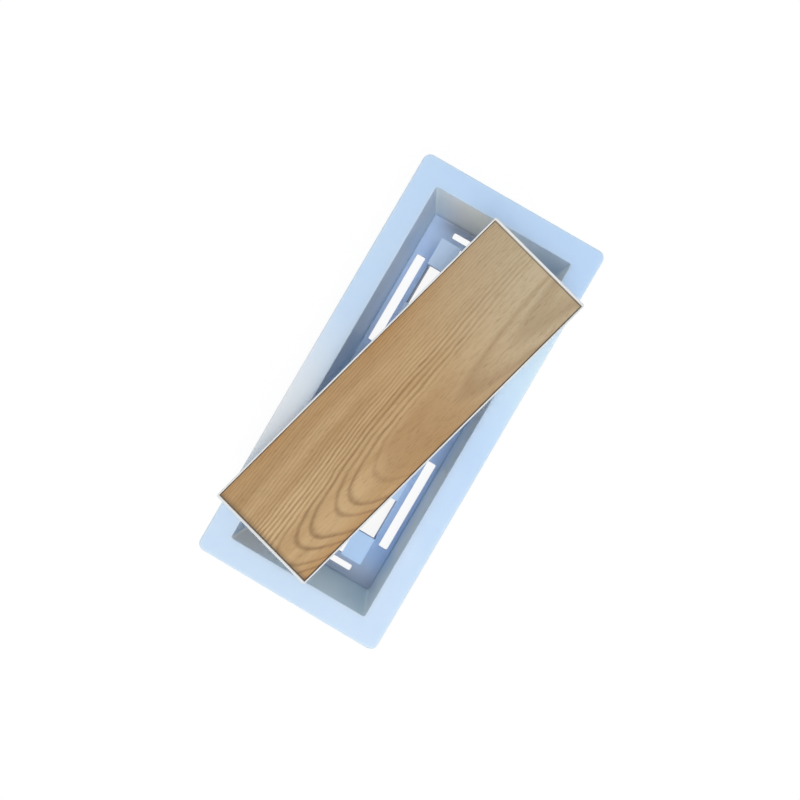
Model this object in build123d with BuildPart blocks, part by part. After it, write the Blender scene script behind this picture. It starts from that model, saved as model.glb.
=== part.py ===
# Flush floor register: a moulded pan that drops into a floor duct, and a removable insert, a thin
# tray that carries a plank of the floor's own boards. Dropped in, the insert stands on the pan's
# raised seat with its top level with the flange, and air rises through the gap all round it.
# Here the insert lies loose across the flange, turned a little out of line.
#
# Millimetres, +Z up. The origin is the centre of the pan's underside, and +X runs along the pan.
import os
from math import radians, tan
from build123d import *

os.makedirs("parts", exist_ok=True)

# Mouth and well of the pan
mouth_length = 247.0
mouth_width = 94.0
mouth_corner_radius = 1.5
mouth_edge_radius = 0.5
well_depth = 50.0
well_wall = 2.4
well_floor = 2.4
well_draft = 2.5
well_foot_radius = 1.6

# Flange round the mouth
flange_land = 15.75
flange_thickness = 3.0
flange_corner_radius = 5.0
flange_edge_radius = 1.2

# Insert: tray, and the plank in it
end_air_gap = 9.2
side_air_gap = 10.8
insert_height = 20.0
insert_turn = -14.8
tray_end_wall = 1.6
tray_side_wall = 1.0
tray_base = 2.0
tray_lip = 1.2
tray_corner_radius = 1.5
tray_edge_radius = 0.4
tray_rib = 2.4
tray_rib_inset = 3.0
tray_rib_draft = 1.0
plank_thickness = 6.0
plank_clearance = 0.15
plank_edge = 0.3

# Raised seat in the well: rungs on legs, over one long opening in the floor
seat_end_inset = 11.8
seat_side_inset = 6.35
seat_wall = 1.2
seat_draft = 2.5
rung_count = 5
rung_width = 18.5
rung_thickness = 4.0
curb_height = 17.6
fork_bar = 5.2
fork_gap = 32.2
opening_margin = 6.0

# Air slots in the floor of the well
side_slot_length = 66.5
side_slot_width = 6.4
side_slot_bridge = 51.0
side_slot_inset = 3.1
end_slot_length = 54.0
end_slot_width = 4.6
end_slot_inset = 4.3
slot_corner_radius = 1.0

# Levels
flange_top = well_floor + well_depth
flange_underside = flange_top - flange_thickness
seat_top = flange_top - insert_height
curb_top = well_floor + curb_height

# Sizes that follow
flange_length = mouth_length + 2 * flange_land
flange_width = mouth_width + 2 * flange_land
tray_length = mouth_length - 2 * end_air_gap
tray_width = mouth_width - 2 * side_air_gap
seat_length = tray_length - 2 * seat_end_inset
seat_width = tray_width - 2 * seat_side_inset
opening_length = seat_length + 2 * opening_margin
rung_pitch = (seat_length - rung_width) / (rung_count - 1)
fork_length = rung_width - fork_bar
pocket_depth = plank_thickness + tray_lip
rib_depth = insert_height - pocket_depth - tray_base


def well_size(level, wall=0.0):
    # Length and width of the well at a level, with a wall added outside it.
    narrowing = (flange_top - level) * tan(radians(well_draft))
    return mouth_length - 2 * narrowing + 2 * wall, mouth_width - 2 * narrowing + 2 * wall


def seat_spread(level):
    # Width of the seat at a level: its legs splay towards the floor.
    return seat_width + 2 * (seat_top - level) * tan(radians(seat_draft))


floor_length, floor_width = well_size(well_floor)
side_slot_y = floor_width / 2 - side_slot_inset - side_slot_width / 2
end_slot_x = floor_length / 2 - end_slot_inset - end_slot_width / 2

# Pan, one moulding
with BuildPart() as register_pan:
    # Outside of the well, tapered so that it drops into the duct
    for level in (0.0, flange_underside):
        with BuildSketch(Plane.XY.offset(level)):
            RectangleRounded(*well_size(level, well_wall), mouth_corner_radius + well_wall)
    loft(ruled=True)
    fillet(register_pan.edges().group_by(Axis.Z)[0], well_foot_radius)

    # Flange with its eased upper edge
    with BuildSketch(Plane.XY.offset(flange_underside)):
        RectangleRounded(flange_length, flange_width, flange_corner_radius)
    extrude(amount=flange_thickness)
    fillet(register_pan.edges().group_by(Axis.Z)[-1], flange_edge_radius)

    # Inside of the well, and the eased edge of its mouth
    for level in (well_floor, flange_top):
        with BuildSketch(Plane.XY.offset(level)):
            RectangleRounded(*well_size(level), mouth_corner_radius)
    loft(ruled=True, mode=Mode.SUBTRACT)
    mouth = register_pan.faces().sort_by(Axis.Z)[-1].inner_wires()[0]
    fillet(mouth.edges(), mouth_edge_radius)

    # Two long walls that rise from the floor, with the opening in the floor between them
    for level in (0.0, seat_top):
        with BuildSketch(Plane.XY.offset(level)):
            Rectangle(seat_length, seat_spread(level))
    loft(ruled=True)
    for level in (0.0, seat_top):
        with BuildSketch(Plane.XY.offset(level)):
            Rectangle(opening_length, seat_spread(level) - 2 * seat_wall)
    loft(ruled=True, mode=Mode.SUBTRACT)

    # Between the rungs the walls are cut down to a curb, which leaves a leg at each rung's end
    with BuildSketch(Plane.XY.offset(curb_top)):
        with GridLocations(rung_pitch, 1, rung_count - 1, 1):
            Rectangle(rung_pitch - rung_width, seat_spread(curb_top))
    extrude(amount=seat_top - curb_top, mode=Mode.SUBTRACT)

    # Rungs across the legs. Each end one is a fork, a bar with two pads
    with BuildSketch(Plane.XY.offset(seat_top - rung_thickness)):
        with GridLocations(rung_pitch, 1, rung_count, 1):
            Rectangle(rung_width, seat_width)
        with GridLocations(seat_length - fork_length, 1, 2, 1):
            Rectangle(fork_length, fork_gap, mode=Mode.SUBTRACT)
    extrude(amount=rung_thickness)

    # Air slots through the floor, four along the sides and one at each end
    with BuildSketch():
        with GridLocations(side_slot_length + side_slot_bridge, 2 * side_slot_y, 2, 2):
            RectangleRounded(side_slot_length, side_slot_width, slot_corner_radius)
        with GridLocations(2 * end_slot_x, 1, 2, 1):
            RectangleRounded(end_slot_width, end_slot_length, slot_corner_radius)
    extrude(amount=well_floor, mode=Mode.SUBTRACT)

register_pan.part.label = "register_pan"
export_step(register_pan.part, "parts/register_pan.step")

# The insert's own frame: flat on the flange, turned about the middle of the pan
insert_plane = Plane.XY.offset(flange_top).rotated((0, 0, insert_turn))

# Tray, one moulding: a base and a thin lip round the plank, on ribs that stand on the rungs
with BuildPart() as insert_tray:
    with BuildSketch(insert_plane.offset(rib_depth)):
        RectangleRounded(tray_length, tray_width, tray_corner_radius)
    extrude(amount=tray_base + pocket_depth)

    # Pocket for the plank
    with BuildSketch(insert_plane.offset(insert_height)):
        Rectangle(tray_length - 2 * tray_end_wall, tray_width - 2 * tray_side_wall)
    extrude(amount=-pocket_depth, mode=Mode.SUBTRACT)
    fillet(insert_tray.edges().group_by(Axis.Z)[-1], tray_edge_radius)

    # Cross ribs, one for each rung, and a spine that joins them. Air leaves between them
    with BuildSketch(insert_plane.offset(rib_depth)):
        with GridLocations(rung_pitch, 1, rung_count, 1):
            Rectangle(tray_rib, tray_width - 2 * tray_rib_inset)
        Rectangle(rung_pitch * (rung_count - 1), tray_rib)
    extrude(amount=-rib_depth, taper=tray_rib_draft)

insert_tray.part.label = "insert_tray"
export_step(insert_tray.part, "parts/insert_tray.step")

# Plank of flooring, cut to lie in the tray
plank_length = tray_length - 2 * (tray_end_wall + plank_clearance)
plank_width = tray_width - 2 * (tray_side_wall + plank_clearance)
with BuildPart() as floor_plank:
    with BuildSketch(insert_plane.offset(rib_depth + tray_base)):
        Rectangle(plank_length, plank_width)
    extrude(amount=plank_thickness)
    chamfer(floor_plank.edges().group_by(Axis.Z)[-1], plank_edge)

floor_plank.part.label = "floor_plank"
export_step(floor_plank.part, "parts/floor_plank.step")
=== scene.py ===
from math import cos, pi, radians, sin, tan
import bmesh
import bpy
from mathutils import Matrix, Vector


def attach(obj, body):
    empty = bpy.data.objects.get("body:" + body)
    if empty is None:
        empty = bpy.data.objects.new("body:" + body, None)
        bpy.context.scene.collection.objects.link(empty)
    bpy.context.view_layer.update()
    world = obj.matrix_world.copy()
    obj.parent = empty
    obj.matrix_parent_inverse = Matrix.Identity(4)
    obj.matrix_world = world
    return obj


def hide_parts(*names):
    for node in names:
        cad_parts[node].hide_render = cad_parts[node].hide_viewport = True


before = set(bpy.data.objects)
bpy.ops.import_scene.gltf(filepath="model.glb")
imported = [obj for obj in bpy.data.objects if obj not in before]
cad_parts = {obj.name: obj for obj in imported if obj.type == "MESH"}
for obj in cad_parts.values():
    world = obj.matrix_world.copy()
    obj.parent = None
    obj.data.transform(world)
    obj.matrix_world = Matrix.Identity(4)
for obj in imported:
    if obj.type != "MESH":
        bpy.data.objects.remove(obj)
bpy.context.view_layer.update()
scene = bpy.context.scene
mm = 0.001
print("loaded", sorted(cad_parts))


class Wire:  # a node's output that can be used in sums
    def __init__(self, tree, socket=None):
        self.tree = tree
        self.socket = socket

    def make(self, kind, settings, sockets, out=0):  # any node, in this wire's tree
        node = self.tree.nodes.new(kind)
        for key, value in settings.items():
            setattr(node, key, value)
        for key, value in sockets.items():
            for wire in value if isinstance(value, list) else [value]:
                if isinstance(wire, Wire):
                    self.tree.links.new(wire.socket, node.inputs[key])
                else:
                    node.inputs[key].default_value = wire
        return Wire(self.tree, node.outputs[out])

    def maths(self, operation, *terms):  # a Math node on wires and numbers, in this order
        return self.make("ShaderNodeMath", {"operation": operation}, dict(enumerate(terms)))

    def calc(self, operation, *others):
        return self.maths(operation, self, *others)

    def __add__(self, other):
        return self.maths("ADD", self, other)

    def __radd__(self, other):
        return self.maths("ADD", other, self)

    def __sub__(self, other):
        return self.maths("SUBTRACT", self, other)

    def __rsub__(self, other):
        return self.maths("SUBTRACT", other, self)

    def __mul__(self, other):
        return self.maths("MULTIPLY", self, other)

    def __rmul__(self, other):
        return self.maths("MULTIPLY", other, self)

    def __truediv__(self, other):
        return self.maths("DIVIDE", self, other)

    def __rtruediv__(self, other):
        return self.maths("DIVIDE", other, self)

    def __pow__(self, other):
        return self.maths("POWER", self, other)

    def __rpow__(self, other):
        return self.maths("POWER", other, self)

    def __abs__(self):
        return self.maths("ABSOLUTE", self)

    def axis(self, i):  # one of the three numbers of a vector
        return self.make("ShaderNodeSeparateXYZ", {}, {0: self}, out=i)

    def vector(self, x, y, z):
        return self.make("ShaderNodeCombineXYZ", {}, {0: x, 1: y, 2: z})

    def ease(self, low, high):  # 0 below low, 1 above high
        smooth = {"interpolation_type": "SMOOTHSTEP"}
        return self.make("ShaderNodeMapRange", smooth, {0: self, 1: low, 2: high})

    def fall(self, low, high):  # 1 below low, 0 above high
        return 1.0 - self.ease(low, high)

    def band(self, a, b, c, d):  # rises from a to b and falls from c to d
        return self.ease(a, b) * self.fall(c, d)

    def mix(self, a, b):  # colour a where this is 0, colour b where it is 1
        return self.make("ShaderNodeMix", {"data_type": "RGBA"}, {0: self, 6: a, 7: b}, out=2)

    def noise(self, scale, detail=2.0):
        return self.make("ShaderNodeTexNoise", {}, {"Vector": self, "Scale": scale, "Detail": detail})

    def bump(self, strength, distance):
        return self.make("ShaderNodeBump", {}, {"Strength": strength, "Distance": distance, "Height": self})


def srgb(r, g, b):  # a colour as it is read off a screen
    def linear(v):
        return v / 12.92 if v <= 0.04045 else ((v + 0.055) / 1.055) ** 2.4

    return linear(r / 255), linear(g / 255), linear(b / 255), 1.0


def newMaterial(name):
    mat = bpy.data.materials.new(name)
    mat.use_nodes = True
    shader = mat.node_tree.nodes["Principled BSDF"]
    coords = Wire(mat.node_tree).make("ShaderNodeTexCoord", {}, {}, out="Object")
    return mat, shader, coords


def feed(shader, name, wire):
    wire.tree.links.new(wire.socket, shader.inputs[name])


def newTree(name, sizes):  # a geometry tree with one named input for each size
    tree = bpy.data.node_groups.new(name, "GeometryNodeTree")
    tree.interface.new_socket("Geometry", in_out="OUTPUT", socket_type="NodeSocketGeometry")
    for key, value in sizes.items():
        kind = "NodeSocketInt" if isinstance(value, int) else "NodeSocketFloat"
        tree.interface.new_socket(key, in_out="INPUT", socket_type=kind)
    tree.interface.new_socket("finish", in_out="INPUT", socket_type="NodeSocketMaterial")
    entry = tree.nodes.new("NodeGroupInput")
    return tree, {s.name: Wire(tree, s) for s in entry.outputs if s.name}


def closeTree(tree, shape, finish):
    done = shape.make("GeometryNodeSetMaterial", {}, {"Geometry": realized(shape), "Material": finish})
    end = tree.nodes.new("NodeGroupOutput")
    tree.links.new(done.socket, end.inputs[0])


def runTree(name, tree, sizes, finish):  # the tree's result as a plain mesh
    piece = bpy.data.objects.new(name, bpy.data.meshes.new(name))
    scene.collection.objects.link(piece)
    mod = piece.modifiers.new("shape", "NODES")
    mod.node_group = tree
    for item in tree.interface.items_tree:
        if item.in_out == "INPUT":
            mod[item.identifier] = finish if item.name == "finish" else sizes[item.name]
    plain(piece)
    return piece


def plain(piece):  # applies the modifiers
    made = piece.evaluated_get(bpy.context.evaluated_depsgraph_get())
    mesh = bpy.data.meshes.new_from_object(made)
    piece.modifiers.clear()
    piece.data = mesh
    mesh.name = piece.name


def soften(piece, width, leave=lambda place: False):
    # eases the sharp edges apart from those to leave, and keeps the broad faces flat
    shape = bmesh.new()
    shape.from_mesh(piece.data)
    weight = shape.edges.layers.float.new("bevel_weight_edge")
    sharp = radians(35)
    for edge in shape.edges:
        if len(edge.link_faces) == 2 and edge.calc_face_angle() > sharp:
            edge.smooth = not all(leave(v.co / mm) for v in edge.verts)
            edge[weight] = float(edge.smooth)
    shape.to_mesh(piece.data)
    shape.free()
    bevel = piece.modifiers.new("ease", "BEVEL")
    bevel.width = width * mm
    bevel.segments = 2
    bevel.limit_method = "WEIGHT"
    bevel.use_clamp_overlap = True
    plain(piece)
    piece.data.shade_smooth()
    piece.modifiers.new("flat", "WEIGHTED_NORMAL").keep_sharp = True
    plain(piece)


def roundLoop(length, width, radius, z, steps=7):  # rounded rectangle, as corner points
    points = []
    for k, (sx, sy) in enumerate(((1, 1), (-1, 1), (-1, -1), (1, -1))):
        for i in range(steps + 1):
            a = (k + i / steps) * pi / 2
            x = sx * (length / 2 - radius) + radius * cos(a)
            y = sy * (width / 2 - radius) + radius * sin(a)
            points.append((x, y, z))
    return points


def arc(radius, count=5):  # sine and cosine parts of a quarter round, times its radius
    angles = [pi / 2 * i / count for i in range(count + 1)]
    return [(radius * sin(a), radius * cos(a)) for a in angles]


def skin(name, loops, finish, ring=False, turn=0.0):
    # faces between the loops, and two lids unless the loops close as a ring
    shape = bmesh.new()
    rows = [[shape.verts.new(Vector(p) * mm) for p in loop] for loop in loops]
    nextRows = rows[1:] + rows[:1] if ring else rows[1:]
    for low, high in zip(rows, nextRows):
        for i in range(len(low)):
            j = (i + 1) % len(low)
            shape.faces.new((low[i], low[j], high[j], high[i]))
    if not ring:
        shape.faces.new(rows[0])
        shape.faces.new(rows[-1])
    bmesh.ops.recalc_face_normals(shape, faces=shape.faces)
    bmesh.ops.rotate(shape, verts=shape.verts, cent=(0, 0, 0), matrix=Matrix.Rotation(turn, 3, "Z"))
    mesh = bpy.data.meshes.new(name)
    shape.to_mesh(mesh)
    shape.free()
    mesh.materials.append(finish)
    mesh.shade_smooth()
    piece = bpy.data.objects.new(name, mesh)
    scene.collection.objects.link(piece)
    piece.modifiers.new("flat", "WEIGHTED_NORMAL").keep_sharp = True
    plain(piece)
    return piece


def joined(*shapes):
    return shapes[0].make("GeometryNodeJoinGeometry", {}, {0: list(shapes)})


def realized(shape):
    return shape.make("GeometryNodeRealizeInstances", {}, {0: shape})


def fused(shape):  # overlapping blocks as one solid
    union = {"operation": "UNION", "solver": "EXACT"}
    return shape.make("GeometryNodeMeshBoolean", union, {"Mesh 2": shape, "Self Intersection": True})


def moved(shape, x=0.0, y=0.0, z=0.0, turn=0.0):  # turned about z, then moved
    place, spin = shape.vector(x, y, z), shape.vector(0.0, 0.0, turn)
    sockets = {"Geometry": shape, "Translation": place, "Rotation": spin}
    return shape.make("GeometryNodeTransform", {}, sockets)


def shifted(shape, x, y, z):  # each point by its own amount
    return shape.make("GeometryNodeSetPosition", {}, {"Geometry": shape, "Offset": shape.vector(x, y, z)})


def block(maker, x, y, z):
    return maker.make("GeometryNodeMeshCube", {}, {"Size": maker.vector(x, y, z)})


def eachPoint(tree):  # the place of a shape's points, to lean or slim it by
    return Wire(tree).make("GeometryNodeInputPosition", {}, {})


def placed(shape, spots):
    many = shape.make("GeometryNodeInstanceOnPoints", {}, {"Points": spots, "Instance": shape})
    return realized(many)


def inRow(shape, count, step):  # copies along x, about the middle
    start = shape.vector((count - 1.0) * step * -0.5, 0.0, 0.0)
    line = {"Count": count, "Start Location": start, "Offset": shape.vector(step, 0.0, 0.0)}
    return placed(shape, shape.make("GeometryNodeMeshLine", {}, line))


def settle(piece, node):  # stands for a CAD node, which it hides, and hangs on the root body
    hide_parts(node)
    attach(piece, "root")


moulded = {"grain": 2400.0, "strength": 0.12, "relief": 0.0001}  # the tool's spark-eroded texture


def mouldedGrain(shader, coords):
    feed(shader, "Normal", coords.noise(moulded["grain"]).bump(moulded["strength"], moulded["relief"]))


pan = {"length": 247.0, "width": 94.0, "corner": 1.5, "mouthEase": 0.5, "depth": 50.0, "draft": 2.5,
       "wall": 2.4, "floor": 2.4, "foot": 1.6, "root": 0.6, "land": 15.75, "lip": 3.0, "lipCorner": 5.0,
       "lipEase": 1.2, "lipUnder": 0.3, "neck": 0.8, "neckMiddle": 0.25, "leastCorner": 0.8, "seam": 0.2}
panTop = pan["floor"] + pan["depth"]
panDraft = tan(radians(pan["draft"]))
# the tray with its plank. Dropped in, it leaves these gaps for air, and here it lies across the flange
insert = {"endGap": 9.2, "sideGap": 10.8, "height": 20.0, "turn": radians(-14.8)}
insertLength = pan["length"] - 2 * insert["endGap"]
insertWidth = pan["width"] - 2 * insert["sideGap"]
seat = {"count": 5, "endInset": 11.8, "sideInset": 6.35, "rungWidth": 18.5, "thick": 4.0, "wall": 1.2,
        "splay": 2.5, "legDrop": 0.1, "curb": 20.0, "bar": 5.2, "gap": 32.2, "ease": 0.35}
seatTop = panTop - insert["height"]
seatReach = insertLength - 2 * seat["endInset"]
seatSpan = insertWidth - 2 * seat["sideInset"]
seatPitch = (seatReach - seat["rungWidth"]) / (seat["count"] - 1)
seatSplay = tan(radians(seat["splay"]))
# the pan's colours; most of the well's tints, the flange patches and the curb colour are painted light and
# shade
panLook = {"pale": srgb(203, 220, 239), "cool": srgb(191, 214, 241), "outside": srgb(214, 227, 242),
           "paintedLight": srgb(231, 234, 236), "lit": srgb(224, 240, 255), "deep": srgb(200, 224, 254),
           "deepCool": srgb(177, 211, 249), "nearEndShade": srgb(200, 214, 233), "farEndShade": srgb(160, 174, 196),
           "side": srgb(240, 249, 254), "sideFoot": srgb(227, 239, 255), "sideGrey": srgb(200, 212, 228),
           "sideBlue": srgb(217, 231, 255), "end": srgb(230, 244, 255), "endCool": srgb(216, 230, 245),
           "endWoodReflection": srgb(251, 247, 232), "curb": srgb(104, 120, 148), "cloud": 9.0, "roughness": 0.42,
           "blotch": 70.0, "uneven": 0.14, "specular": 0.4, "through": 0.9, "depthOfLight": 0.0045}
# where the pan's tints change, in millimetres, and their shares
panTint = {"driftX": 400.0, "driftY": 330.0, "paintedLightX": (-100.0, -60.0, -40.0, 45.0), "paintedLightY": (40.0, 55.0),
           "paintedLight": 0.8, "litX": (-20.0, 70.0, 85.0, 115.0), "litY": (-50.0, -45.0), "lit": 0.6,
           "inWall": (-1.4, -1.0), "mouthDrop": (0.2, 1.4), "outsideDrop": (1.5, 4.0), "outside": 0.8,
           "deepX": (-120.0, 40.0), "footZ": (4.0, 14.0), "nearEndX": (-119.0, -98.0),
           "farEndX": (108.0, 120.0), "farEndY": (28.0, 48.0), "wallFace": (0.2, 1.5), "overFloor": 6.0,
           "sideDrop": (8.0, 44.0), "middle": (-20.0, 20.0), "endCoolY": (-20.0, 5.0), "warmY": 30.0,
           "warmLean": 0.1, "warmReach": (6.0, 32.0), "curbFace": (-1.2, -0.9, 0.2, 0.5),
           "curbOver": (0.2, 0.6), "curbEnd": 0.1, "curb": 0.85}


def panPlastic(name, through):  # through is the share of light that passes into the plastic
    mat, shader, coords = newMaterial(name)
    x, y, z = (coords.axis(i) * 1000.0 for i in range(3))  # millimetres
    look, tint = panLook, panTint
    cloud = coords.noise(look["cloud"], 3.0) - 0.5
    drift = 0.5 + x / tint["driftX"] - y / tint["driftY"] + cloud * 0.5
    tone = drift.ease(0.1, 0.9).mix(look["pale"], look["cool"])

    # painted light: two paler patches on the flange beside the insert, which lift the insert's shade there
    paintedLight = x.band(*tint["paintedLightX"]) * y.ease(*tint["paintedLightY"])
    tone = (paintedLight * tint["paintedLight"]).mix(tone, look["paintedLight"])
    lit = x.band(*tint["litX"]) * y.fall(*tint["litY"])
    tone = (lit * tint["lit"]).mix(tone, look["lit"])

    # depth below the flange, and distance from the walls: 0 on their inner faces, less than 0 in them
    sunk = panTop - z
    fromEnd = pan["length"] / 2 - abs(x) - sunk * panDraft
    fromSide = pan["width"] / 2 - abs(y) - sunk * panDraft
    inside = fromEnd.ease(*tint["inWall"]) * fromSide.ease(*tint["inWall"]) * sunk.ease(*tint["mouthDrop"])
    # the outer faces are paler: partly the plastic's whiter tone, partly painted light that lifts their
    # shade
    tone = (sunk.ease(*tint["outsideDrop"]) * tint["outside"]).mix(tone, look["outside"])

    # painted light and shade: the floor and the seat are cooler, bluest towards -x, and painted shade makes
    # them darker at the ends
    ground = x.ease(*tint["deepX"]).mix(look["deepCool"], look["deep"])
    foot = z.fall(*tint["footZ"])
    ground = (foot * x.fall(*tint["nearEndX"])).mix(ground, look["nearEndShade"])
    ground = (foot * x.ease(*tint["farEndX"]) * y.fall(*tint["farEndY"])).mix(ground, look["farEndShade"])
    tone = inside.mix(tone, ground)

    # painted light and shade on the walls: each wall has its own tint for how the light falls on it, and the
    # tints grow weaker close to the floor
    weaker = sunk.ease(pan["depth"] - tint["overFloor"], pan["depth"]) * 0.5
    strength = (1.0 - weaker) * (0.9 + cloud * 0.5)
    sideWall = inside * fromSide.fall(*tint["wallFace"])
    down = sunk.ease(*tint["sideDrop"])
    rightTone = down.mix(look["side"], look["sideFoot"])
    leftTone = down.mix(look["sideGrey"], look["sideBlue"])
    sideTone = y.ease(*tint["middle"]).mix(rightTone, leftTone)
    tone = (sideWall * strength).mix(tone, sideTone)
    endWall = inside * fromEnd.fall(*tint["wallFace"])
    endTone = (x.ease(*tint["middle"]) * y.fall(*tint["endCoolY"])).mix(look["end"], look["endCool"])
    # painted reflection of the wood: a warm patch on the end walls near the +y side
    woodReflection = abs(y - tint["warmY"] + x * tint["warmLean"]).fall(*tint["warmReach"])
    tone = (endWall * strength).mix(tone, woodReflection.mix(endTone, look["endWoodReflection"]))

    # painted shade on the curbs' inner faces, which show as a dark line. fromCurb is 0 in the middle of
    # their thickness
    fromCurb = abs(y) - (seatSpan - seat["wall"]) / 2 - (seatTop - z) * seatSplay
    curbShade = fromCurb.band(*tint["curbFace"]) * (z - seat["curb"]).fall(*tint["curbOver"])
    curbShade = curbShade * abs(x).fall(seatReach / 2 - tint["curbEnd"], seatReach / 2)
    tone = (curbShade * tint["curb"]).mix(tone, look["curb"])

    feed(shader, "Base Color", tone)
    blotch = coords.noise(look["blotch"], 3.0) - 0.5
    feed(shader, "Roughness", look["roughness"] + blotch * look["uneven"])
    shader.inputs["Specular IOR Level"].default_value = look["specular"]
    shader.inputs["Subsurface Weight"].default_value = through
    shader.inputs["Subsurface Radius"].default_value = (1.0, 1.0, 1.0)
    shader.inputs["Subsurface Scale"].default_value = look["depthOfLight"]
    mouldedGrain(shader, coords)
    return mat


panFinish = panPlastic("panPlastic", 0.0)
shellFinish = panPlastic("shellPlastic", panLook["through"])  # the walls are thin and stand in the light


def wellLoop(z, wall=0.0, inset=0.0):  # the well's outline at a level
    grow = 2 * (wall - inset - (panTop - z) * panDraft)
    corner = max(pan["corner"] + wall - inset, pan["leastCorner"])
    return pan["length"] + grow, pan["width"] + grow, corner


def panShell():
    under = panTop - pan["lip"]
    loops = []

    def add(outline, z, grow=0.0):
        length, width, radius = outline
        loops.append(roundLoop(length + 2 * grow, width + 2 * grow, radius + grow, z))

    r = pan["root"]
    for s, c in arc(r):  # round where the wall meets the floor
        add(wellLoop(pan["floor"] + r - c, inset=r - s), pan["floor"] + r - c)
    r = pan["mouthEase"]
    for s, c in arc(r):
        add(wellLoop(panTop - r + s), panTop - r + s, r - c)
    edge = (pan["length"] + 2 * pan["land"], pan["width"] + 2 * pan["land"], pan["lipCorner"])
    r = pan["lipEase"]
    for s, c in arc(r):
        add(edge, panTop - r + c, s - r)
    add(edge, under + pan["lipUnder"])
    add(edge, under, -pan["lipUnder"])
    neck, middle = pan["neck"], pan["neckMiddle"]  # round between the flange and the well
    for drop, out in ((0.0, neck), (middle, middle), (neck, 0.0)):
        add(wellLoop(under - drop, pan["wall"] + out), under - drop)
    r = pan["foot"]
    for s, c in arc(r):
        add(wellLoop(r, pan["wall"]), r - s, c - r)
    add(wellLoop(pan["floor"], inset=pan["seam"]), 0.0)  # closes inside the edge of the floor plate
    return skin("panShell", loops, shellFinish, ring=True)


floorPlate = {"thick": pan["floor"], "sideLength": 66.5, "sideWidth": 6.4, "sideGap": 51.0, "sideInset": 3.1,
              "endLength": 54.0, "endWidth": 4.6, "endInset": 4.3, "slotCorner": 1.0,
              "openMargin": 6.0, "openWidth": 60.2, "ease": 0.3}


def panFloor():  # the floor of the well with its air slots
    inLength, inWidth, _ = wellLoop(pan["floor"])
    length, width, corner = wellLoop(pan["floor"], inset=pan["seam"])
    sizes = {k: v * mm for k, v in floorPlate.items() if not k.endswith(("Inset", "Margin", "ease"))}
    sizes.update(length=length * mm, width=width * mm, corner=corner * mm)
    sizes["openLength"] = (seatReach + 2 * floorPlate["openMargin"]) * mm
    # from one row of slots to the other
    sizes["sideY"] = (inWidth - 2 * floorPlate["sideInset"] - floorPlate["sideWidth"]) * mm
    sizes["endX"] = (inLength - 2 * floorPlate["endInset"] - floorPlate["endWidth"]) * mm
    tree, size = newTree("slottedFloor", sizes)
    maker = size["length"]

    def oblong(x, y):
        return maker.make("GeometryNodeCurvePrimitiveQuadrilateral", {}, {"Width": x, "Height": y})

    def rounded(x, y, radius):
        corners = {"Curve": oblong(x, y), "Count": 5, "Radius": radius}
        return maker.make("GeometryNodeFilletCurve", {"mode": "POLY"}, corners)

    def repeat(shape, stepX, stepY, countX, countY):
        grid = {"Size X": stepX, "Size Y": stepY, "Vertices X": countX, "Vertices Y": countY}
        return placed(shape, maker.make("GeometryNodeMeshGrid", {}, grid))

    rim = rounded(size["length"], size["width"], size["corner"])
    sideSlot = rounded(size["sideLength"], size["sideWidth"], size["slotCorner"])
    sideSlots = repeat(sideSlot, size["sideLength"] + size["sideGap"], size["sideY"], 2, 2)
    endSlot = rounded(size["endWidth"], size["endLength"], size["slotCorner"])
    endSlots = repeat(endSlot, size["endX"], 0.0, 2, 1)
    lines = joined(rim, sideSlots, endSlots, oblong(size["openLength"], size["openWidth"]))
    sheet = maker.make("GeometryNodeFillCurve", {"mode": "NGONS"}, {"Curve": lines})
    upward = {"Mesh": sheet, "Offset": (0.0, 0.0, 1.0), "Offset Scale": size["thick"], "Individual": False}
    raised = maker.make("GeometryNodeExtrudeMesh", {}, upward)
    base = maker.make("GeometryNodeFlipFaces", {}, {"Mesh": sheet})
    weld = {"Geometry": joined(raised, base), "Distance": 0.01 * mm}
    closeTree(tree, maker.make("GeometryNodeMergeByDistance", {}, weld), size["finish"])
    piece = runTree("panFloor", tree, sizes, panFinish)

    def atRim(place):  # this edge is inside the wall, so it stays sharp
        fromRim = min(length / 2 - abs(place.x), width / 2 - abs(place.y))
        return fromRim < corner + 0.1

    soften(piece, floorPlate["ease"], atRim)
    return piece


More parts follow.
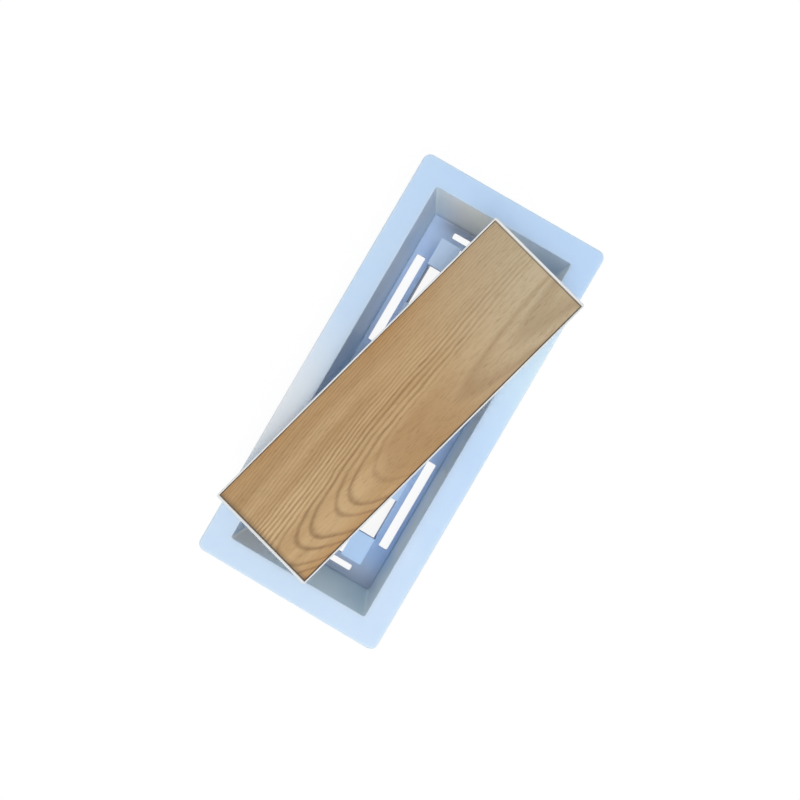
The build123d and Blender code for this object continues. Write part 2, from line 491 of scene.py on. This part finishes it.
def panSeat():  # rungs on splayed legs, with a fork at each end
    sizes = {k: seat[k] * mm for k in ("rungWidth", "thick", "wall", "legDrop", "curb", "bar", "gap")}
    sizes.update(top=seatTop * mm, span=seatSpan * mm, pitch=seatPitch * mm)
    sizes.update(count=seat["count"], splay=seatSplay)
    tree, size = newTree("rungSeat", sizes)
    maker = size["span"]
    height = eachPoint(tree).axis(2)

    def standing(length, top):  # a wall on each side that leans out towards the floor
        upright = block(maker, length, size["wall"], top)
        wall = moved(upright, 0.0, (size["span"] - size["wall"]) * 0.5, top * 0.5)
        wall = shifted(wall, 0.0, (size["top"] - height) * size["splay"], 0.0)
        return joined(wall, moved(wall, turn=pi))

    def rung(length, width, x, y):
        return moved(block(maker, length, width, size["thick"]), x, y, size["top"] - size["thick"] * 0.5)

    reach = size["pitch"] * (size["count"] - 1.0)  # between the end rungs
    legs = inRow(standing(size["rungWidth"], size["top"] - size["legDrop"]), size["count"], size["pitch"])
    rungs = inRow(rung(size["rungWidth"], size["span"], 0.0, 0.0), size["count"] - 2.0, size["pitch"])
    curbs = standing(reach + size["rungWidth"], size["curb"])
    bar = rung(size["bar"], size["span"], (size["bar"] - size["rungWidth"]) * 0.5, 0.0)
    pad = (size["span"] - size["gap"]) * 0.5
    padY = (size["span"] - pad) * 0.5
    pads = [rung(size["rungWidth"], pad, 0.0, y) for y in (padY, 0.0 - padY)]
    front = moved(joined(bar, *pads), reach * 0.5)
    back = moved(front, turn=pi)
    closeTree(tree, fused(joined(legs, rungs, curbs, front, back)), size["finish"])
    piece = runTree("panSeat", tree, sizes, panFinish)
    soften(piece, seat["ease"])
    return piece


for piece in (panShell(), panFloor(), panSeat()):
    settle(piece, "register_pan")
print("pan made")


trayLook = {"body": srgb(226, 227, 226), "shade": srgb(219, 221, 222), "cloud": 20.0, "roughness": 0.4,
            "blotch": 70.0, "uneven": 0.12}


def trayPlastic():
    mat, shader, coords = newMaterial("trayPlastic")
    cloud = coords.noise(trayLook["cloud"], 3.0).ease(0.3, 0.7)
    feed(shader, "Base Color", cloud.mix(trayLook["body"], trayLook["shade"]))
    blotch = coords.noise(trayLook["blotch"]) - 0.5
    feed(shader, "Roughness", trayLook["roughness"] + blotch * trayLook["uneven"])
    mouldedGrain(shader, coords)
    return mat


trayFinish = trayPlastic()
tray = {"corner": 1.5, "endWall": 1.6, "sideWall": 1.0, "base": 2.0, "pocket": 7.2, "pocketCorner": 0.3,
        "pocketRound": 0.2, "ease": 0.4}
trayTop = panTop + insert["height"]
pocketFloor = trayTop - tray["pocket"]
trayUnder = pocketFloor - tray["base"]


def trayShell():
    ease, small = tray["ease"], tray["pocketRound"]
    loops = []

    def outer(grow, z):
        loops.append(roundLoop(insertLength + 2 * grow, insertWidth + 2 * grow, tray["corner"] + grow, z))

    def pocket(grow, z, corner):
        length = insertLength + 2 * (grow - tray["endWall"])
        width = insertWidth + 2 * (grow - tray["sideWall"])
        loops.append(roundLoop(length, width, corner, z))

    quarter = arc(ease, 3)
    for s, c in quarter:
        outer(s - ease, trayUnder + ease - c)
    for s, c in quarter:
        outer(c - ease, trayTop - ease + s)
    for s, c in quarter:
        pocket(ease - s, trayTop - ease + c, tray["pocketCorner"] + ease - s)
    pocket(0.0, pocketFloor + small, tray["pocketCorner"])
    pocket(-small, pocketFloor, small)
    return skin("trayShell", loops, trayFinish, turn=insert["turn"])


ribs = {"thick": 2.4, "inset": 3.0, "draft": 1.0, "rooted": 0.5, "ease": 0.25}


def trayRibs():  # one for each rung of the seat, and a spine
    sizes = {"count": seat["count"], "pitch": seatPitch * mm, "span": (insertWidth - 2 * ribs["inset"]) * mm,
             "foot": panTop * mm, "depth": (trayUnder - panTop) * mm, "thick": ribs["thick"] * mm,
             "draft": tan(radians(ribs["draft"])), "rooted": ribs["rooted"] * mm, "turn": insert["turn"]}
    tree, size = newTree("underRibs", sizes)
    place = eachPoint(tree)
    x, y, z = (place.axis(i) for i in range(3))
    spine = (size["count"] - 1.0) * size["pitch"]

    def rib(length, width):  # narrower towards its foot, and reaching into the tray's base
        deep = size["depth"] + size["rooted"]
        thin = (size["depth"] * 0.5 - z) * size["draft"]
        cube = block(size["span"], length, width, deep)
        return shifted(cube, 0.0 - x.calc("SIGN") * thin, 0.0 - y.calc("SIGN") * thin, deep * 0.5)

    crossRibs = inRow(rib(size["thick"], size["span"]), size["count"], size["pitch"])
    whole = fused(joined(crossRibs, rib(spine, size["thick"])))
    closeTree(tree, moved(whole, z=size["foot"], turn=size["turn"]), size["finish"])
    piece = runTree("trayRibs", tree, sizes, trayFinish)
    soften(piece, ribs["ease"])
    return piece


for piece in (trayShell(), trayRibs()):
    settle(piece, "insert_tray")
print("tray made")


plank = {"room": 0.15, "corner": 0.2, "thick": 6.0, "ease": 0.3, "underEase": 0.1}
plankLength = insertLength - 2 * (tray["endWall"] + plank["room"])
plankWidth = insertWidth - 2 * (tray["sideWall"] + plank["room"])
plankLook = {"pale": srgb(196, 163, 117), "woodReflection": srgb(178, 143, 95), "line": srgb(126, 91, 53),
             "orange": srgb(182, 138, 86), "heart": srgb(170, 134, 88), "bright": srgb(212, 180, 134),
             "grey": srgb(191, 176, 147), "pore": srgb(112, 82, 50), "edge": srgb(70, 55, 42),
             "roughness": 0.5, "specular": 0.35, "strength": 0.35, "relief": 0.0002}
# growth rings on the plank's top
rings = {"middle": -22.5, "first": -54.0, "step": 14.4, "wider": 0.003, "tipRound": 7.2, "flankFrom": 15.0,
         "flankSlope": 4.17, "finer": 0.06, "belowRound": 11.6, "flankY": (3.0, 14.0), "stretch": 0.375,
         "stretchEase": 30.0, "curl": 0.00055, "curlY": (-14.0, 16.0), "sway": 4.5, "tremble": 1.4,
         "beatFrom": 36.0, "beat": 4.6, "beatOut": (45.0, 85.0),
         "faint": ((-2.0, 4.0, 4.0, 12.0), (12.5, 18.5, 18.5, 32.0))}
# length and width in millimetres, detail, and a place in the noise
streaks = {"sway": (70.0, 30.0, 1.0, 3.1), "tremble": (15.0, 6.0, 1.0, 8.3), "stray": (40.0, 8.0, 1.0, 9.2),
           "patchy": (25.0, 5.0, 2.0, 1.4), "broken": (2.6, 0.9, 2.0, 5.2), "drift": (90.0, 9.0, 3.0, 2.2),
           "rim": (60.0, 20.0, 1.0, 7.7), "fibre": (11.0, 0.55, 2.0, 4.4), "pore": (5.0, 0.3, 1.0, 6.6)}
# where the wood's tints change, in millimetres
plankTint = {"lineOut": (-24.0, 4.0), "lineY": (3.0, 18.0), "lineX": (0.0, 90.0), "rimAt": 35.0,
             "heartOut": (-30.0, 4.0), "heartX": (-5.0, 85.0), "greyX": (5.0, 115.0), "greyLean": -0.4,
             "brightX": (-95.0, -20.0), "brightY": (3.0, 12.0), "brownY": (0.0, 28.0),
             "edge": (-0.75, -0.25), "edgeLean": 0.3, "edgeY": (-40.0, 40.0), "endShade": 4.0}


def plankWood():
    mat, shader, coords = newMaterial("plankWood")
    look, tint = plankLook, plankTint
    byZ = {"rotation_type": "Z_AXIS"}
    turned = coords.make("ShaderNodeVectorRotate", byZ, {"Vector": coords, "Angle": -insert["turn"]})
    x = turned.axis(0) * 1000.0  # millimetres along the plank from its middle
    y = turned.axis(1) * 1000.0

    def streak(name):  # noise drawn out along the grain
        length, width, detail, shift = streaks[name]
        return x.vector(x / length + shift, y / width + shift * 1.7, shift).noise(1.0, detail)

    # rings run in long arches that point to -x: round at the tip, then flanks with finer and finer lines
    left = x.calc("MINIMUM", 0.0)
    sway = (streak("sway") - 0.5) * rings["sway"] + (streak("tremble") - 0.5) * rings["tremble"]
    across = y - rings["middle"] - left * left * rings["curl"] * y.fall(*rings["curlY"]) + sway
    above = across.calc("MAXIMUM", 0.0)
    near = above.calc("MINIMUM", rings["flankFrom"])
    far = above - near
    below = across.calc("MINIMUM", 0.0)
    bend = near * near / rings["tipRound"] + far * rings["flankSlope"] + far * far * rings["finer"]
    bend = bend + below * below / rings["belowRound"]
    ahead = x + (x * x + rings["stretchEase"] ** 2) ** 0.5  # about 0 on the -x half, then twice x
    tip = x - ahead * rings["stretch"] - bend  # where this place's ring has its tip
    out = rings["first"] - tip
    flank = across.ease(*rings["flankY"])
    uneven = ((out - rings["beatFrom"]) / rings["beat"]).calc("COSINE") * (1.0 - flank) * 0.17 + 0.45
    uneven = uneven * out.fall(*rings["beatOut"])
    count = out / (rings["step"] + out * rings["wider"]) - uneven + (streak("stray") - 0.5) * 0.3
    turn = (count + 0.5).calc("FRACT")  # 0.5 on a ring's dark line
    whichRing = {"W": (count + 0.5).calc("FLOOR")}
    chance = x.make("ShaderNodeTexWhiteNoise", {"noise_dimensions": "1D"}, whichRing)
    crisp = turn.band(0.2, 0.5, 0.5, 0.75)
    wave = (0.5 - (turn * (2 * pi)).calc("COSINE") * 0.5) ** 1.6
    late = (crisp * (1.0 - flank) * 0.7 + wave * flank * 0.74) * (0.7 + chance * 0.3)
    late = late * (0.1 + out.ease(*tint["lineOut"]) * 0.9)
    late = late * (1.0 - y.ease(*tint["lineY"]) * 0.62) * (1.0 - x.ease(*tint["lineX"]) * 0.5)
    late = late * (0.3 + streak("patchy") + streak("broken") * 0.5)
    firstFaint, lastFaint = (tip.band(*reach) for reach in rings["faint"])

    # colour drifts over the plank
    tone = streak("drift").ease(0.3, 0.72).mix(look["pale"], look["woodReflection"])
    rim = (y * y / tint["rimAt"] ** 2).ease(0.45, 1.0) * streak("rim").ease(0.3, 0.6)
    tone = (rim * 0.8).mix(tone, look["orange"])
    tone = (out.fall(*tint["heartOut"]) * x.fall(*tint["heartX"]) * 0.8).mix(tone, look["heart"])
    tone = ((x + y * tint["greyLean"]).ease(*tint["greyX"]) * 0.85).mix(tone, look["grey"])
    tone = (x.fall(*tint["brightX"]) * abs(y).fall(*tint["brightY"]) * 0.7).mix(tone, look["bright"])
    dark = late * 0.85 + (firstFaint + lastFaint) * 0.32 + y.ease(*tint["brownY"]) * 0.15
    tone = dark.mix(tone, look["line"])
    fibre = streak("fibre") - 0.5
    tone = (fibre * 0.8).calc("MAXIMUM", 0.0).mix(tone, look["line"])
    pore = streak("pore").ease(0.58, 0.72) * turn.ease(0.0, 0.3) * 0.36
    tone = pore.mix(tone, look["pore"])

    # dark edge, stronger at the -x end and the -y side: partly the plank's own dark bevel, partly painted
    # shadow of the tray's lip
    pastEnd, pastSide = abs(x) - plankLength / 2, abs(y) - plankWidth / 2
    rimLine = pastSide.ease(*tint["edge"]).calc("MAXIMUM", pastEnd.ease(*tint["edge"]))
    bevelAndLipShadow = rimLine * (0.85 - (x * tint["edgeLean"] + y).ease(*tint["edgeY"]) * 0.45)
    endShade = (x + plankLength / 2).fall(0.0, tint["endShade"])
    bevelAndLipShadow = bevelAndLipShadow.calc("MAXIMUM", endShade * 0.4)
    feed(shader, "Base Color", bevelAndLipShadow.mix(tone, look["edge"]))
    feed(shader, "Roughness", look["roughness"] + pore * 0.3 + fibre * 0.15)
    shader.inputs["Specular IOR Level"].default_value = look["specular"]
    feed(shader, "Normal", (0.0 - pore - late * 0.25).bump(look["strength"], look["relief"]))
    return mat


def plankBoard():
    low, high = pocketFloor, pocketFloor + plank["thick"]
    ease, under, corner = plank["ease"], plank["underEase"], plank["corner"]
    # inset, corner and level
    outline = ((under, corner - under, low), (0.0, corner, low + under), (0.0, corner, high - ease),
               (ease / 2, corner, high - ease * 0.35), (ease, corner * 0.75, high))
    loops = []
    for inset, radius, z in outline:
        loops.append(roundLoop(plankLength - 2 * inset, plankWidth - 2 * inset, radius, z))
    return skin("plankBoard", loops, plankWood(), turn=insert["turn"])


settle(plankBoard(), "floor_plank")
print("plank made")

stage = {"reach": 6.0, "glow": 0.91, "seen": 0.105, "bounce": 0.85, "fill": 0.56}
white = (1.0, 1.0, 1.0, 1.0)
lamps = {"topLight": {"energy": 0.88, "spread": 26.0, "height": 79.0, "side": (-0.7, -0.71)},
         "lowLight": {"energy": 0.64, "spread": 35.0, "height": 46.0, "side": (-0.8, -0.6)}}


def cameraSeen(tree):  # 1 for rays that show the background
    rays = ("Is Camera Ray", "Is Glossy Ray", "Is Transmission Ray")
    camera, glossy, through = (Wire(tree).make("ShaderNodeLightPath", {}, {}, out=ray) for ray in rays)
    return camera.calc("MAXIMUM", glossy).calc("MAXIMUM", through)


def paleFloor():
    mesh = bpy.data.meshes.new("studioFloor")
    r = stage["reach"]
    mesh.from_pydata([(-r, -r, 0), (r, -r, 0), (r, r, 0), (-r, r, 0)], [], [(0, 1, 2, 3)])
    floor = bpy.data.objects.new("studioFloor", mesh)
    scene.collection.objects.link(floor)
    mat = bpy.data.materials.new("studioFloor")
    mat.use_nodes = True
    tree = mat.node_tree
    tree.nodes.remove(tree.nodes["Principled BSDF"])
    seen = cameraSeen(tree)
    glow = seen.make("ShaderNodeEmission", {}, {"Color": white, "Strength": stage["glow"]})
    shade = seen.make("ShaderNodeBsdfDiffuse", {}, {"Color": (stage["seen"],) * 3 + (1.0,)})
    both = seen.make("ShaderNodeAddShader", {}, {0: glow, 1: shade})
    bounce = seen.make("ShaderNodeBsdfDiffuse", {}, {"Color": (stage["bounce"],) * 3 + (1.0,)})
    mixed = seen.make("ShaderNodeMixShader", {}, {0: seen, 1: bounce, 2: both})
    tree.links.new(mixed.socket, tree.nodes["Material Output"].inputs["Surface"])
    mesh.materials.append(mat)


def studioLight():
    world = bpy.data.worlds.new("studio")
    scene.world = world
    world.use_nodes = True
    tree = world.node_tree
    back = tree.nodes["Background"]
    back.inputs["Color"].default_value = white
    feed(back, "Strength", stage["fill"] + cameraSeen(tree) * (1.0 - stage["fill"]))
    for name, lamp in lamps.items():
        light = bpy.data.lights.new(name, "SUN")
        light.energy = lamp["energy"]
        light.angle = radians(lamp["spread"])
        up = radians(lamp["height"])
        sideX, sideY = lamp["side"]
        source = Vector((sideX * cos(up), sideY * cos(up), sin(up)))
        carrier = bpy.data.objects.new(name, light)
        carrier.rotation_euler = (-source).to_track_quat("-Z", "Y").to_euler()
        scene.collection.objects.link(carrier)


paleFloor()
studioLight()
print("studio lit")

lookDown = {"place": (0.00244, -0.00898, 0.47959), "roll": radians(-59.625), "tiltUp": radians(0.429),
            "tiltSide": radians(-1.241), "lens": 31.774, "sensor": 36.0, "nearest": 0.01}


def photoCamera():
    c, s = cos(lookDown["roll"]), sin(lookDown["roll"])
    right, up, ahead = Vector((c, s, 0)), Vector((-s, c, 0)), Vector((0, 0, -1))
    a, b = lookDown["tiltUp"], lookDown["tiltSide"]
    up, ahead = cos(a) * up - sin(a) * ahead, sin(a) * up + cos(a) * ahead
    right, ahead = cos(b) * right - sin(b) * ahead, sin(b) * right + cos(b) * ahead
    data = bpy.data.cameras.new("photoCamera")
    data.lens = lookDown["lens"]
    data.sensor_width = lookDown["sensor"]
    data.clip_start = lookDown["nearest"]
    camera = bpy.data.objects.new("photoCamera", data)
    turned = Matrix((right, up, -ahead)).transposed().to_4x4()
    camera.matrix_world = Matrix.Translation(lookDown["place"]) @ turned
    scene.collection.objects.link(camera)
    scene.camera = camera


photoCamera()
scene.view_settings.view_transform = "Standard"
